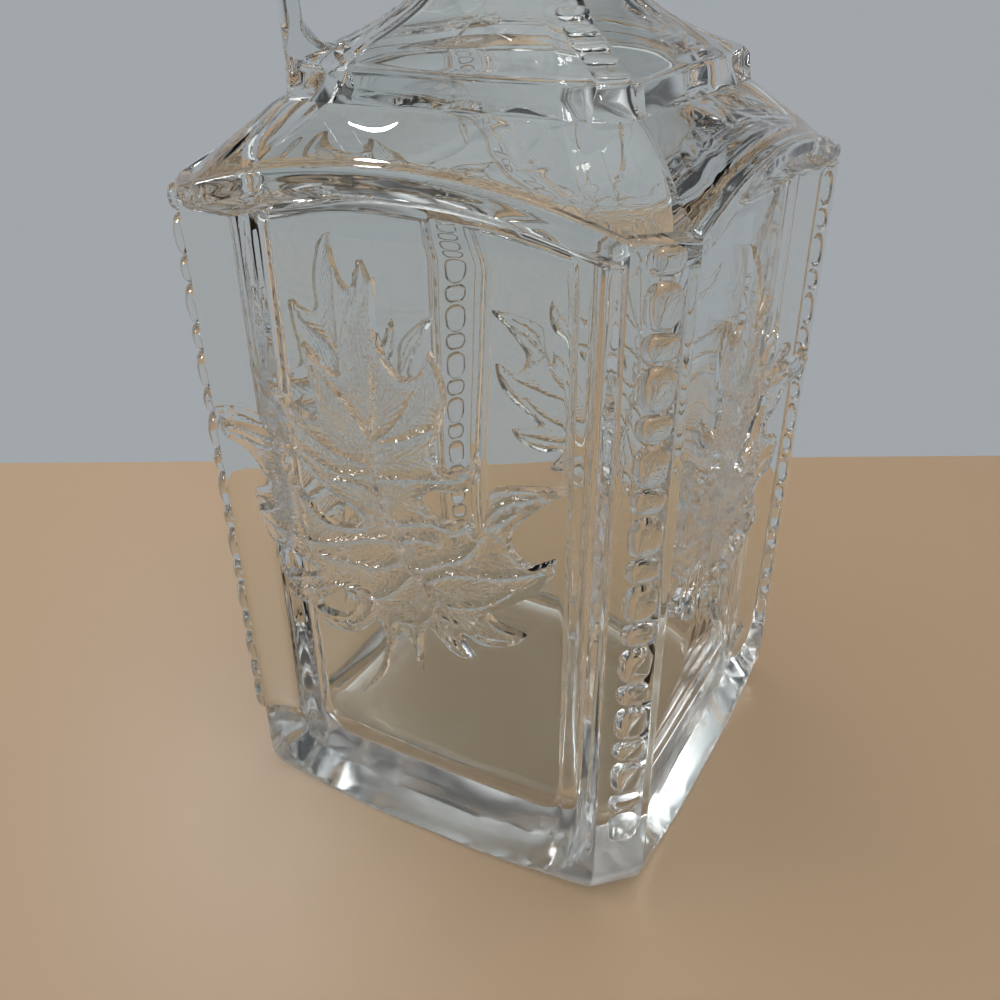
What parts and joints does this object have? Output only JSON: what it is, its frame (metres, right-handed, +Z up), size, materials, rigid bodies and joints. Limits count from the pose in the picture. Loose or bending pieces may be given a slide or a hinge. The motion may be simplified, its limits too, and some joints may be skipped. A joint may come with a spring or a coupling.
{
  "type": "handled glass decanter",
  "caption": "Square pressed-glass decanter with recessed arched panels, leaf reliefs, beaded corner posts, a narrow neck and a loop handle.",
  "frame": {"origin": "centre of the base, on the surface the decanter stands on", "axes": "+Z up along the body; the -Y face lies between the handle's corner (-X, -Y) and the corner (+X, -Y)"},
  "size_m": [0.105, 0.105, 0.222],
  "materials": {
    "clear_glass": "clear polished pressed glass"
  },
  "bodies": {
    "root": {"decanter": "clear_glass"}
  },
  "joints": []
}
